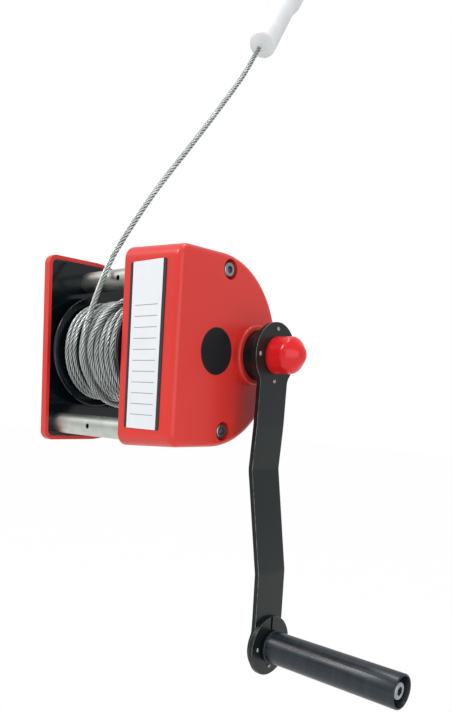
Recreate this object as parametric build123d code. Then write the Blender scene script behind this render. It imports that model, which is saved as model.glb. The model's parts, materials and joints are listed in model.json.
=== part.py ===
"""Hand winch with an enclosed gear case: a rope drum between two covered side plates, a spur
gear pair, a ratchet brake on the crank shaft, and a joggled crank with a free-turning grip.

Lengths are in millimetres. While it is modelled, X runs along the drum's axis towards the
crank, Y to the rear, Z up, and the origin is where the drum's axis meets the gear case's outer
face. Each piece is written with its origin moved to the middle of the rear base plate's bolts.
"""
import os
from math import acos, cos, pi, radians, sin, sqrt, tan

from build123d import *

os.makedirs("parts", exist_ok=True)

# Clearances
running_fit = 0.03        # radial, a shaft in its bush
press_fit = 0.02          # radial, a bush or a screw in its hole
plate_gap = 0.4           # a side plate inside its cover
turning_gap = 0.4         # faces that turn past each other

# Gear case
case_depth = 72.0
case_half_height = 88.0   # at the closed face
case_draft = 3.0          # degrees, top, bottom and rear, so that the case leaves its mould
case_front = 54.0         # from the drum's axis to the flat front
round_end = 4.0           # behind the drum's axis, where the straight top turns round
case_wall = 3.2
case_face_wall = 4.0
case_corner = 12.0
case_face_round = 6.0
case_rim_round = 1.5
boss_radius = 28.5
boss_height = 8.0
boss_bore = 23.4
boss_round = 2.5
bearing_boss_radius = 24.0
bearing_depth = case_depth / 4            # the bearing boss inside the closed face
crank_bearing_depth = case_depth * 7 / 36
cap_radius = 21.5
cap_thickness = 3.0
case_screw_places = ((12.5, 74.3), (16.3, -73.5))
case_screw_size = 8.0
recess_radius = 9.2
recess_depth = 9.0
pillar_radius = 12.0

# Far cover and side plates
drum_gap = 112.5          # between the two covers
cover_depth = 11.0
cover_half_height = 95.5
cover_front = 57.0
cover_wall = 4.0
cover_corner = 9.0
cover_round = 4.0
plate_inset = 1.0         # the far plate lies this far inside the cover's rim
plate_thickness = 5.0
cover_screw_size = 5.0
screw_cover = 1.2         # left of the far plate past the ends of its screws

# Tie tubes
tube_radius = 10.65
tube_wall = 2.0
top_tube = (-3.5, 73.1)
bottom_tube = (-36.3, -77.2)
cross_hole_radius = 2.6
plug_length = 16.0
tie_screw_size = 8.0
tie_screw_length = 18.0

# Rear base plate
base_rear = 71.0          # its rear face behind the drum's axis
base_thickness = 10.0
base_half_height = 60.0
bolt_spacing_x = 70.0
bolt_spacing_z = 100.0
bolt_hole_radius = 5.25
base_screw_size = 6.0
base_screw_length = 24.0
base_screw_z = 32.0

# Drum
flange_radius = 58.0
flange_thickness = 3.0
flange_edge = 1.0
barrel_radius = 25.0
barrel_bore = 20.0
barrel_web = 6.0
drum_side_gap = 1.0       # between the near flange and the gear plate
drum_far_gap = 16.0       # between the rope's far end and the far plate
shaft_radius = 12.5
bush_radius = 16.0
bush_flange_radius = 20.0
bush_flange = 2.0
pack_radius = 52.0
rope_diameter = 6.0
wrap_count = 15           # turns of rope side by side in the outer layer
end_drops = (3.4, 1.0)    # how far the turns by the far flange lie below the rest
spacer_radius = 17.0
clamp_radius = 42.0
clamp_width = 16.0
clamp_screw_margin = 3.5
clamp_screw_size = 4.0
clamp_screw_spacing = 17.0
tail_length = 34.0

# Gears
gear_module = 2.0
pinion_teeth = 12
gear_teeth = 40
gear_width = case_depth * 2 / 9
gear_start = case_depth / 18              # from the gear plate's outer face to the drum gear
gear_hub_radius = 22.0
gear_hub_width = 4.0
gear_hole_radius = 6.0
gear_hole_circle = 27.0
key_width = 8.0
key_height = 7.2
profile_shift = 0.35
pressure_angle = radians(20)
backlash = 0.3
crank_axis = gear_module * (pinion_teeth + gear_teeth) / 2

# Brake on the crank shaft
crank_shaft_radius = 8.0
crank_bush_radius = 11.0
brake_flange_radius = 25.0
brake_flange_width = case_depth * 5 / 72
brake_collar_radius = 12.0
lining_thickness = case_depth / 24
lining_radius = 23.5
lining_bore = 12.0
ratchet_radius = 27.0
tooth_depth = 4.5
ratchet_teeth = 12
ratchet_turn = 10.0       # degrees, the first steep tooth side from the crank axis's rear
ratchet_width = case_depth * 7 / 72
ratchet_bush_radius = 11.0
pressure_disc_radius = 24.0
pressure_disc_width = case_depth / 12
pressure_tube_radius = 15.0
crank_bush_wall = 4.0
brake_start = case_depth * 3 / 8          # from the gear plate's outer face to the brake flange
pawl_pivot = (19.0, 21.5)
pawl_pin_radius = 4.0
pawl_boss_radius = 8.0
pawl_eye_radius = 7.5
pawl_hub_radius = 6.0

# Crank
hub_start = 2.0
hub_radius = 22.8
hub_flange_radius = 27.5
hub_flange_width = 4.0
arm_back = 24.5
arm_thickness = 4.6
arm_width = 42.0
arm_head_radius = 30.5
arm_foot_radius = 25.5
crank_length = 280.2
arm_dip = -1.8            # outwards from the arm's head, as the next two
arm_bend_reach = 15.3
arm_foot_reach = 16.3
arm_bends = ((0.0, 0.2355), (arm_dip, 0.3854), (arm_bend_reach, 0.7388), (arm_foot_reach, 0.8922))
arm_neck_round = 12.0
foot_flange_radius = 29.5
foot_flange_width = 4.5
arm_bend_radius = 25.0
rivet_radius = 1.6
head_rivet_circle = 24.0
foot_rivet_circle = 20.5
foot_slot = 3.5
foot_slot_length = 14.0
nut_flats = 24.0
nut_height = 10.0
nut_washer_radius = 13.5
nut_washer_thickness = 2.0
cap_knob_radius = 17.4
cap_knob_wall = 2.0
cap_knob_straight = 17.0
cap_knob_length = 30.4

# Grip
grip_radius = 16.0
grip_length = 137.6
grip_end_depth = 14.5
grip_end_wall = 2.0
grip_round = 1.2
grip_groove_place = 3.6   # from the grip's inner end
grip_groove_width = 1.0
grip_groove_depth = 0.5
spindle_radius = 12.2
spindle_play = 0.3
grip_bolt_size = 10.0
grip_washer_thickness = 1.6
grip_nut_flats = 17.0
grip_nut_height = 8.0

# Name plate, left without words
name_plate_width = 45.8
name_plate_height = 149.4
name_plate_edge = 16.2    # from the closed face
name_plate_middle = 0.9
name_plate_thickness = 0.8

# Free rope, from the wound rope past the top tube to its end fitting
rope_route = (
    (-129.5, -49.0, 25.6),
    (-140.6, -20.2, 80.8),
    (-144.7, 12.5, 124.2),
    (-149.8, 56.5, 177.5),
    (-156.5, 118.3, 242.5),
    (-164.2, 187.5, 318.6),
    (-168.1, 221.0, 358.0),
    (-176.9, 287.1, 455.3),
)
sleeve_radius = 16.5
sleeve_wall = 2.5
sleeve_end_wall = 6.0
sleeve_length = 112.0
sleeve_mouth_length = 42.0   # the wide end, its taper included
sleeve_taper = 20.0
sleeve_fit = 0.05         # radial, the rope in the sleeve's closed end
sleeve_shift = (6.0, -2.1) # the rope leaves the closed end off its middle
sleeve_flare = 3.5
ferrule_radius = 6.5
ferrule_length = 24.0
thimble_radius = 10.0
thimble_throat = 26.0
thimble_width = 9.0
thimble_wall = 3.2
thimble_opening = 8.0     # from the ferrule to the thimble's two ends

# Positions along the drum's axis that follow from the sizes above
case_open = -case_depth
plate_outer = case_open + plate_thickness
cover_rim = case_open - drum_gap
cover_back = cover_rim - cover_depth
far_inner = cover_rim - plate_inset
far_outer = far_inner - plate_thickness
near_flange = case_open - drum_side_gap
far_flange = far_inner + drum_far_gap
gear_x = plate_outer + gear_start
brake_x = plate_outer + brake_start
ratchet_x = brake_x + brake_flange_width + lining_thickness
pressure_x = ratchet_x + ratchet_width + lining_thickness
arm_front = arm_back + arm_thickness
foot_back = arm_back + arm_foot_reach
foot_front = foot_back + arm_thickness
grip_start = foot_front + foot_flange_width
past_crank = grip_start + cap_knob_length
gap_middle = (case_open + cover_rim) / 2
case_open_half = case_half_height + case_depth * tan(radians(case_draft))
plate_draft = plate_thickness * tan(radians(case_draft))


def rod(x0, x1, radius, y=0.0, z=0.0):
    """A cylinder along X from x0 to x1."""
    solid = Cylinder(radius, x1 - x0, align=(Align.CENTER, Align.CENTER, Align.MIN))
    return Pos(x0, y, z) * Rot(0, 90, 0) * solid


def ring(x0, x1, radius, bore, y=0.0, z=0.0):
    """A tube along X."""
    return rod(x0, x1, radius, y, z) - rod(x0 - 1, x1 + 1, bore, y, z)


def turned(profile, y=0.0, z=0.0):
    """A solid of revolution about an axis along X; profile holds (x, radius) corners."""
    face = make_face(Polyline(*[(x, r) for x, r in profile], close=True))
    return Pos(0, y, z) * revolve(face, Axis.X, 360)


def facing_x(x):
    """A plane across the drum's axis, with its own x to the rear and its y up."""
    return Plane(origin=(x, 0, 0), x_dir=(0, 1, 0), z_dir=(1, 0, 0))


def d_outline(half_height, front, corner=0.0):
    """Straight front, top and bottom, and a round rear end."""
    line = Line((-front, half_height), (round_end, half_height))
    line += ThreePointArc(
        (round_end, half_height), (round_end + half_height, 0), (round_end, -half_height)
    )
    line += Polyline((round_end, -half_height), (-front, -half_height), (-front, half_height))
    face = make_face(line)
    return fillet(face.vertices().group_by(Axis.X)[0], corner) if corner else face


def on_x(part, x, y, z, outwards=1):
    """A part modelled along Z, put on a line along X, its top towards +X or -X."""
    return Pos(x, y, z) * Rot(0, 90 * outwards, 0) * part


def socket_screw(size, length):
    """Cylinder-head screw; the head stands on Z = 0."""
    head = Cylinder(0.8125 * size, size, align=(Align.CENTER, Align.CENTER, Align.MIN))
    head = chamfer(head.edges().sort_by(Axis.Z)[-1], 0.08 * size)
    socket = extrude(RegularPolygon(0.375 * size, 6, major_radius=False), 0.55 * size)
    shank = Cylinder(size / 2 - press_fit, length, align=(Align.CENTER, Align.CENTER, Align.MAX))
    return head - Pos(0, 0, 0.5 * size) * socket + shank


def countersunk_screw(size, length):
    """Flat-head screw; the head's flat face is Z = 0."""
    shank = size / 2 - press_fit
    profile = Polyline(
        (0, 0), (size, 0), (shank, shank - size), (shank, -length), (0, -length), close=True
    )
    body = revolve(Plane.XZ * make_face(profile), Axis.Z, 360)
    socket = extrude(RegularPolygon(0.3 * size, 6, major_radius=False), -0.3 * size)
    return body - socket


def countersink(size, depth):
    """The hole that a flat-head screw fills, from Z = 0 down."""
    hole = size / 2
    top = size + 0.1
    profile = Polyline(
        (0, 1), (top, 1), (top, 0), (hole, hole - top), (hole, -depth), (0, -depth), close=True
    )
    return revolve(Plane.XZ * make_face(profile), Axis.Z, 360)


def pan_screw(size, length):
    """Domed screw; the head stands on Z = 0."""
    head = Cylinder(0.95 * size, 0.6 * size, align=(Align.CENTER, Align.CENTER, Align.MIN))
    head = fillet(head.edges().sort_by(Axis.Z)[-1], 0.4 * size)
    shank = Cylinder(size / 2 - press_fit, length, align=(Align.CENTER, Align.CENTER, Align.MAX))
    socket = extrude(RegularPolygon(0.3 * size, 6, major_radius=False), 0.4 * size)
    return head - Pos(0, 0, 0.3 * size) * socket + shank


def rivet(grip, radius):
    """Domed rivet through a stack grip thick; the stack lies from Z = 0 down."""
    dome = Cylinder(1.8 * radius, 0.8 * radius, align=(Align.CENTER, Align.CENTER, Align.MIN))
    dome = fillet(dome.edges().sort_by(Axis.Z)[-1], 0.6 * radius)
    return dome + Cylinder(radius, grip, align=(Align.CENTER, Align.CENTER, Align.MAX))


def circle_places(radius, count, first=0.0):
    """(Y, Z) of holes evenly spaced on a circle."""
    turns = [radians(first + 360 * i / count) for i in range(count)]
    return [(radius * cos(a), radius * sin(a)) for a in turns]


def involute(a):
    return tan(a) - a


def gear_face(teeth, shift):
    """A spur gear's outline with involute flanks; tooth 0 is centred on the x axis."""
    pitch = gear_module * teeth / 2
    base = pitch * cos(pressure_angle)
    tip = pitch + gear_module * (1 + shift) - 0.1
    root = pitch - gear_module * (1.25 - shift)
    half = (pi / 2 + 2 * shift * tan(pressure_angle)) / teeth - backlash / 4 / pitch

    def half_angle(radius):
        return half + involute(pressure_angle) - involute(acos(min(1.0, base / radius)))

    start = max(base, root)
    flank = [start + (tip - start) * i / 3 for i in range(4)]
    points = []
    for tooth in range(teeth):
        middle = 2 * pi * tooth / teeth
        sides = [(root, half_angle(start))] + [(r, half_angle(r)) for r in flank]
        for r, a in sides:
            points.append((r * cos(middle - a), r * sin(middle - a)))
        for r, a in reversed(sides):
            points.append((r * cos(middle + a), r * sin(middle + a)))
    kept = [p for i, p in enumerate(points) if (Vector(*p) - Vector(*points[i - 1])).length > 0.01]
    return make_face(Polyline(*kept, close=True))


def ratchet_face():
    """Saw teeth whose steep sides face the way that the load turns the wheel."""
    root = ratchet_radius - tooth_depth
    step = 2 * pi / ratchet_teeth
    points = []
    for tooth in range(ratchet_teeth):
        a = tooth * step
        for radius, angle in ((root + 1.4, a - 0.55 * step), (ratchet_radius, a), (root, a)):
            points.append((radius * cos(angle), radius * sin(angle)))
    return make_face(Polyline(*points, close=True))


# Gear case: a D-shaped shell, open towards the drum, its front flat and its other walls drafted
def case_solid(inset, depth):
    front = case_front - inset
    outline = d_outline(case_open_half - inset, 2 * front)
    solid = extrude(facing_x(case_open) * outline, depth, taper=case_draft)
    solid &= Pos(0, 3 * front, 0) * Box(4 * case_depth, 8 * front, 8 * front)
    corners = [e for e in solid.edges() if abs(e.center().Y + front) < 0.1 and e.length > depth - 0.1
               and abs(e.center().X - case_open - depth / 2) < 0.1]
    return fillet(corners, case_corner - inset)


outer = case_solid(0, case_depth)
outer = fillet(outer.faces().sort_by(Axis.X)[-1].edges(), case_face_round)
inner = case_solid(case_wall, case_depth - case_face_wall)
gear_case = outer - inner
rim = [e for e in gear_case.faces().sort_by(Axis.X)[0].outer_wire().edges()]
gear_case = fillet(rim, case_rim_round)
pillars = [rod(plate_outer + plate_gap, -1, pillar_radius, y, z) for y, z in case_screw_places]
bearing_boss = rod(-bearing_depth, -1, bearing_boss_radius)
crank_boss = rod(-crank_bearing_depth, -1, boss_bore, crank_axis)
pawl_boss = rod(ratchet_x + ratchet_width + 5, -1, pawl_boss_radius, *pawl_pivot)
for piece in [*pillars, bearing_boss, crank_boss, pawl_boss]:
    gear_case += outer & piece
raised = rod(-2, boss_height, boss_radius, crank_axis)
gear_case += fillet(raised.edges().sort_by(Axis.X)[-1], boss_round)
for y, z in case_screw_places:
    gear_case -= rod(-recess_depth, 10, recess_radius, y, z)
    gear_case -= rod(case_open, 0, case_screw_size / 2, y, z)
bearing_end = -cap_thickness - 0.5
gear_case -= rod(-bearing_depth - 1, 0, bush_radius)
gear_case -= rod(bearing_end, 1, cap_radius + press_fit)
gear_case -= rod(-0.5, boss_height + 1, boss_bore, crank_axis)
crank_bush_outside = pressure_tube_radius + crank_bush_wall
gear_case -= rod(-crank_bearing_depth - 1, 0, crank_bush_outside, crank_axis)
gear_case -= rod(pressure_x, -8, pawl_pin_radius, *pawl_pivot)

# Axle cap, flush in the closed face
axle_cap = rod(-cap_thickness, 0.3, cap_radius)
axle_cap = fillet(axle_cap.edges().sort_by(Axis.X)[-1], 0.6)

# Side plates
gear_plate_half = case_open_half - case_wall - plate_gap - plate_draft
gear_plate_front = case_front - case_wall - plate_gap
gear_plate_outline = d_outline(gear_plate_half, gear_plate_front, case_corner - case_wall)
gear_plate = extrude(facing_x(case_open) * gear_plate_outline, plate_thickness)
far_plate_inset = cover_wall + plate_gap
far_plate_outline = d_outline(
    cover_half_height - far_plate_inset, cover_front - far_plate_inset, cover_corner - cover_wall
)
far_plate = extrude(facing_x(far_outer) * far_plate_outline, plate_thickness)
for y, z in (top_tube, bottom_tube):
    gear_plate -= on_x(countersink(tie_screw_size, 20), plate_outer, y, z, 1)
    far_plate -= on_x(countersink(tie_screw_size, 20), far_outer, y, z, -1)
base_screw_y = base_rear - base_thickness / 2
for z in (base_screw_z, -base_screw_z):
    gear_plate -= on_x(countersink(base_screw_size, 20), plate_outer, base_screw_y, z, 1)
    far_plate -= on_x(countersink(base_screw_size, 20), far_outer, base_screw_y, z, -1)
for y, z in case_screw_places:
    gear_plate -= rod(case_open - 1, 0, case_screw_size / 2, y, z)
gear_plate -= rod(case_open - 1, 0, bush_radius)
gear_plate -= rod(case_open - 1, 0, crank_bush_radius, crank_axis)
far_plate -= rod(far_outer - 1, far_inner + 1, bush_radius)

# Far cover: a shallow D-shaped pan, open towards the drum
cover_outline = d_outline(cover_half_height, cover_front, cover_corner)
far_cover = extrude(facing_x(cover_back) * cover_outline, cover_depth)
far_cover = fillet(far_cover.faces().sort_by(Axis.X)[0].edges(), cover_round)
cover_inside = d_outline(cover_half_height - cover_wall, cover_front - cover_wall, cover_corner - cover_wall)
far_cover -= extrude(facing_x(cover_back + cover_wall) * cover_inside, cover_depth)
cover_screw_places = [(-44.0, 80.0), (-44.0, -62.0), (58.0, 62.0), (58.0, -62.0)]
for y, z in cover_screw_places:
    far_cover -= rod(cover_back - 1, cover_rim, cover_screw_size / 2, y, z)
    far_plate -= rod(far_outer - 1, far_inner - screw_cover, cover_screw_size / 2, y, z)
cover_screws = [
    on_x(pan_screw(cover_screw_size, far_inner - screw_cover - cover_back), cover_back, y, z, -1)
    for y, z in cover_screw_places
]
case_screws = [
    on_x(socket_screw(case_screw_size, -recess_depth - case_open), -recess_depth, y, z)
    for y, z in case_screw_places
]


# Tie tubes, their threaded end plugs and the flat-head screws that hold them
def tie_tube(place):
    y, z = place
    tube = ring(far_inner, case_open, tube_radius, tube_radius - tube_wall, y, z)
    drill = Cylinder(cross_hole_radius, 4 * tube_radius)
    return tube - Pos(gap_middle + 2, y, z) * Rot(90, 0, 0) * drill


def tube_plug(x0, x1, place):
    y, z = place
    return ring(x0, x1, tube_radius - tube_wall - press_fit, tie_screw_size / 2, y, z)


tube_plugs = []
tie_screws = []
for place in (top_tube, bottom_tube):
    tube_plugs.append(tube_plug(far_inner, far_inner + plug_length, place))
    tube_plugs.append(tube_plug(case_open - plug_length, case_open, place))
    tie_screws.append(on_x(countersunk_screw(tie_screw_size, tie_screw_length), far_outer, *place, -1))
    tie_screws.append(on_x(countersunk_screw(tie_screw_size, tie_screw_length), plate_outer, *place, 1))

# Rear base plate between the side plates, held by flat-head screws in its edges
base_x = (far_inner + case_open) / 2
base_plate = Pos(base_x, base_screw_y) * Box(case_open - far_inner, base_thickness, 2 * base_half_height)
base_plate = chamfer(base_plate.edges().filter_by(Axis.X), 1.0)
for i in (1, -1):
    for j in (1, -1):
        place = Pos(base_x + i * bolt_spacing_x / 2, base_screw_y, j * bolt_spacing_z / 2)
        base_plate -= place * Rot(90, 0, 0) * Cylinder(bolt_hole_radius, 2 * base_thickness)
base_screws = []
for z in (base_screw_z, -base_screw_z):
    for x, way in ((far_outer, -1), (plate_outer, 1)):
        base_plate -= on_x(countersink(base_screw_size, base_screw_length), x, base_screw_y, z, way)
        screw = countersunk_screw(base_screw_size, base_screw_length)
        base_screws.append(on_x(screw, x, base_screw_y, z, way))

# Drum: shaft, webbed barrel, two flanges, and the rope wound on it
drum_shaft = rod(far_outer + 0.5, bearing_end - turning_gap, shaft_radius)
drum_shaft = chamfer(drum_shaft.edges().filter_by(GeomType.CIRCLE), 1.0)
barrel = turned([
    (far_flange - flange_thickness, shaft_radius + press_fit),
    (far_flange - flange_thickness, barrel_radius),
    (near_flange, barrel_radius),
    (near_flange, shaft_radius + press_fit),
    (near_flange - barrel_web, shaft_radius + press_fit),
    (near_flange - barrel_web, barrel_bore),
    (far_flange - flange_thickness + barrel_web, barrel_bore),
    (far_flange - flange_thickness + barrel_web, shaft_radius + press_fit),
])


def drum_flange(x0):
    disc = ring(x0, x0 + flange_thickness, flange_radius, barrel_radius + press_fit)
    rims = disc.edges().filter_by(GeomType.CIRCLE).group_by(SortBy.RADIUS)[-1]
    return fillet(rims, flange_edge)


far_drum_flange = drum_flange(far_flange - flange_thickness)
near_drum_flange = drum_flange(near_flange - flange_thickness)
pack_end = near_flange - flange_thickness

# The rope's outer layer: a rounded turn for each wrap, over the layers below it
wrap_pitch = (pack_end - far_flange) / wrap_count
crests = [pack_radius - drop for drop in end_drops] + [pack_radius] * (wrap_count - len(end_drops))
grooves = [min(pair) - rope_diameter / 2 for pair in zip(crests[:1] + crests, crests + crests[-1:])]
pack_bore = barrel_radius + press_fit
pack_outline = Line((far_flange, pack_bore), (far_flange, grooves[0]))
for turn, crest in enumerate(crests):
    wrap_x = far_flange + turn * wrap_pitch
    pack_outline += ThreePointArc(
        (wrap_x, grooves[turn]), (wrap_x + wrap_pitch / 2, crest), (wrap_x + wrap_pitch, grooves[turn + 1])
    )
pack_outline += Polyline((pack_end, grooves[-1]), (pack_end, pack_bore), (far_flange, pack_bore))
rope_pack = revolve(make_face(pack_outline), Axis.X, 360)
tail_exit = Pos(far_flange, 0, clamp_radius) * Box(30, 2.2 * rope_diameter / 2 + 1, rope_diameter + 1)
far_drum_flange -= tail_exit

# The rope's inner end leaves by a slot in the far flange and lies under a clamp
clamp_x = far_flange - flange_thickness
rope_tail = Pos(clamp_x - rope_diameter / 2, 0, clamp_radius) * Rot(90, 0, 0)
rope_tail = rope_tail * Cylinder(rope_diameter / 2 - 0.1, tail_length)
clamp_plate = Box(rope_diameter, clamp_width, clamp_screw_spacing + 2 * clamp_screw_margin)
clamp_plate = Pos(clamp_x - rope_diameter / 2, 0, clamp_radius) * clamp_plate
clamp_groove = Rot(90, 0, 0) * Cylinder(rope_diameter / 2, 2 * clamp_width)
clamp_plate -= Pos(clamp_x - 0.2, 0, clamp_radius) * clamp_groove
clamp_plate -= rope_tail
clamp_screws = []
for dz in (clamp_screw_spacing / 2, -clamp_screw_spacing / 2):
    hole = rod(clamp_x - 2 * rope_diameter, far_flange + 1, clamp_screw_size / 2, 0, clamp_radius + dz)
    clamp_plate -= hole
    far_drum_flange -= hole
    screw = pan_screw(clamp_screw_size, rope_diameter + flange_thickness)
    clamp_screws.append(on_x(screw, clamp_x - rope_diameter, 0, clamp_radius + dz, -1))

# Bushes of the drum shaft
bush_bore = shaft_radius + running_fit
far_bush = ring(far_outer + 0.3, far_inner, bush_radius - press_fit, bush_bore)
far_bush += ring(far_inner, far_inner + bush_flange, bush_flange_radius, bush_bore)
gear_side_bush = ring(near_flange + turning_gap, plate_outer, bush_radius - press_fit, bush_bore)
case_bush = ring(1 - bearing_depth, bearing_end - 1.5, bush_radius - press_fit, bush_bore)
spacer_bore = shaft_radius + press_fit
far_spacer = ring(far_inner + bush_flange + turning_gap, clamp_x, spacer_radius, spacer_bore)

# Gear pair; a tooth space of the drum gear faces the pinion
drum_gear = extrude(facing_x(gear_x) * Rot(0, 0, 180 / gear_teeth) * gear_face(gear_teeth, -profile_shift),
                    gear_width)
gear_end = gear_x + gear_width
drum_gear += rod(gear_end, gear_end + gear_hub_width, gear_hub_radius)
drum_gear -= rod(gear_x - 1, gear_end + gear_hub_width + 1, spacer_bore)
for y, z in circle_places(gear_hole_circle, 5, 90):
    drum_gear -= rod(gear_x - 1, gear_end + 1, gear_hole_radius, y, z)
key_place = Pos(gear_x + gear_width / 2, 0, shaft_radius)
key_length = gear_width - 2
key_slot = key_place * Box(key_length, key_width, key_height)
gear_key = key_place * Box(key_length - 0.1, key_width - 0.1, key_height - 0.2)
drum_shaft -= key_slot
drum_gear -= key_slot + Pos(-gear_width / 2, 0, 0) * key_slot
gear_spacer = ring(gear_end + gear_hub_width, -bearing_depth - turning_gap, spacer_radius, spacer_bore)
inner_spacer = ring(plate_outer + turning_gap, gear_x, spacer_radius, spacer_bore)

pinion = extrude(facing_x(gear_x - 0.5) * Pos(crank_axis, 0) * gear_face(pinion_teeth, profile_shift),
                 gear_width + 1)
crank_shaft = rod(case_open + 0.3, arm_front + 15, crank_shaft_radius, crank_axis)
crank_shaft = chamfer(crank_shaft.edges().filter_by(GeomType.CIRCLE), 1.0) + pinion

# Brake: flange, two friction linings, the ratchet wheel between them and the pressure hub
shaft_bore = crank_shaft_radius + press_fit
crank_inner_bush = ring(case_open, plate_outer, crank_bush_radius - press_fit,
                        crank_shaft_radius + running_fit, crank_axis)
brake_flange = ring(brake_x, brake_x + brake_flange_width, brake_flange_radius, shaft_bore, crank_axis)
brake_flange += ring(gear_end + 0.5, brake_x, brake_collar_radius, shaft_bore, crank_axis)
inner_lining = ring(brake_x + brake_flange_width, ratchet_x - 0.1, lining_radius, lining_bore, crank_axis)
outer_lining = ring(ratchet_x + ratchet_width + 0.1, pressure_x, lining_radius, lining_bore, crank_axis)
ratchet_plane = facing_x(ratchet_x) * Pos(crank_axis, 0)
ratchet_wheel = extrude(ratchet_plane * Rot(0, 0, ratchet_turn) * ratchet_face(), ratchet_width)
ratchet_wheel -= rod(ratchet_x - 1, ratchet_x + 20, ratchet_bush_radius, crank_axis)
ratchet_bush = ring(ratchet_x, ratchet_x + ratchet_width, ratchet_bush_radius - press_fit,
                    crank_shaft_radius + running_fit, crank_axis)
pressure_end = pressure_x + pressure_disc_width
pressure_hub = ring(pressure_x, pressure_end, pressure_disc_radius, shaft_bore, crank_axis)
pressure_hub += ring(pressure_end, hub_start, pressure_tube_radius, shaft_bore, crank_axis)
crank_outer_bush = ring(0.5 - crank_bearing_depth, -1, crank_bush_outside - press_fit,
                        pressure_tube_radius + running_fit, crank_axis)

# Pawl: a tapered finger on its pin, its square nose against a steep tooth side
nose_angle = radians(ratchet_turn + 90)
nose_tip = (
    crank_axis + (ratchet_radius - tooth_depth + 0.5) * cos(nose_angle),
    (ratchet_radius - tooth_depth + 0.5) * sin(nose_angle),
)
steep = Vector(cos(nose_angle), sin(nose_angle))
nose_gap = Vector(-steep.Y, steep.X) * 0.35
nose_low = Vector(*nose_tip) + nose_gap
nose_high = nose_low + steep * 6.5
pivot = Vector(*pawl_pivot)
along = (nose_low - pivot).normalized()
across = Vector(-along.Y, along.X)
pawl_outline = make_face(Polyline(
    (nose_low.X, nose_low.Y), (nose_high.X, nose_high.Y),
    tuple(pivot + across * 6.5 + along * 3)[:2], pawl_pivot, close=True,
))
pawl = extrude(facing_x(ratchet_x + 0.3) * pawl_outline, ratchet_width - 0.6)
pawl += rod(ratchet_x + 0.3, ratchet_x + ratchet_width - 0.3, pawl_eye_radius, *pawl_pivot)
pawl += rod(ratchet_x + ratchet_width - 0.3, ratchet_x + ratchet_width + 2, pawl_hub_radius, *pawl_pivot)
pawl -= rod(ratchet_x - 1, ratchet_x + 20, pawl_pin_radius + running_fit, *pawl_pivot)
pawl_pin = rod(ratchet_x - 1.5, -8.5, pawl_pin_radius - press_fit, *pawl_pivot)
pawl_pin += rod(ratchet_x - 3, ratchet_x - 1.5, pawl_hub_radius, *pawl_pivot)
spring_x = ratchet_x + ratchet_width + 2.4
pawl_spring = ring(spring_x, spring_x + 2.2, 6.8, 5.2, *pawl_pivot)

# Crank: hub with its disc, joggled flat arm, rivets, nut under a domed cap
crank_hub = rod(hub_start, arm_back, hub_radius, crank_axis)
crank_hub += rod(arm_back - hub_flange_width, arm_back, hub_flange_radius, crank_axis)
crank_hub -= rod(0, arm_back + 1, shaft_bore, crank_axis)

side_line = FilletPolyline(
    (arm_back + arm_thickness / 2, arm_head_radius + 2),
    *[(arm_back + arm_thickness / 2 + dx, -crank_length * share) for dx, share in arm_bends],
    (foot_back + arm_thickness / 2, -crank_length - arm_foot_radius - 2),
    radius=arm_bend_radius,
)
side_face = make_face(offset(side_line, arm_thickness / 2, side=Side.BOTH, closed=True).edges())
arm_side = extrude(Plane.XZ * side_face, -2 * crank_axis - 2 * arm_head_radius)
arm_front_outline = Circle(arm_head_radius) + Pos(0, -crank_length) * Circle(arm_foot_radius)
arm_front_outline += Pos(0, -crank_length / 2) * Rectangle(arm_width, crank_length)
necks = [v for v in arm_front_outline.vertices() if abs(abs(v.X) - arm_width / 2) < 0.01]
arm_front_outline = fillet(necks, arm_neck_round)
crank_arm = extrude(facing_x(0) * Pos(crank_axis, 0) * arm_front_outline, past_crank) & arm_side
crank_arm -= rod(0, past_crank, shaft_bore, crank_axis)
crank_arm -= rod(0, past_crank, grip_bolt_size / 2, crank_axis, -crank_length)
foot_flange = rod(foot_front, grip_start, foot_flange_radius, crank_axis, -crank_length)
foot_flange = chamfer(foot_flange.edges().filter_by(GeomType.CIRCLE), 0.5)
foot_flange -= rod(0, past_crank, grip_bolt_size / 2, crank_axis, -crank_length)
slot_middle = -crank_length + foot_flange_radius - foot_slot_length / 2
foot_flange -= Pos(grip_start, crank_axis - 1, slot_middle) * Box(4, foot_slot, foot_slot_length + 0.2)
head_rivets = []
for y, z in circle_places(head_rivet_circle, 4):
    hole = rod(arm_back - hub_flange_width - 1, arm_front + 1, rivet_radius + press_fit, crank_axis + y, z)
    crank_hub -= hole
    crank_arm -= hole
    stack = rivet(arm_thickness + hub_flange_width, rivet_radius)
    head_rivets.append(on_x(stack, arm_front, crank_axis + y, z))
foot_rivets = []
for y, z in circle_places(foot_rivet_circle, 4, 180)[:3]:
    place = (crank_axis + y, z - crank_length)
    hole = rod(foot_back - 1, grip_start + 1, rivet_radius + press_fit, *place)
    crank_arm -= hole
    foot_flange -= hole
    foot_rivets.append(on_x(rivet(grip_start - foot_back, rivet_radius), grip_start, *place))

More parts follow.
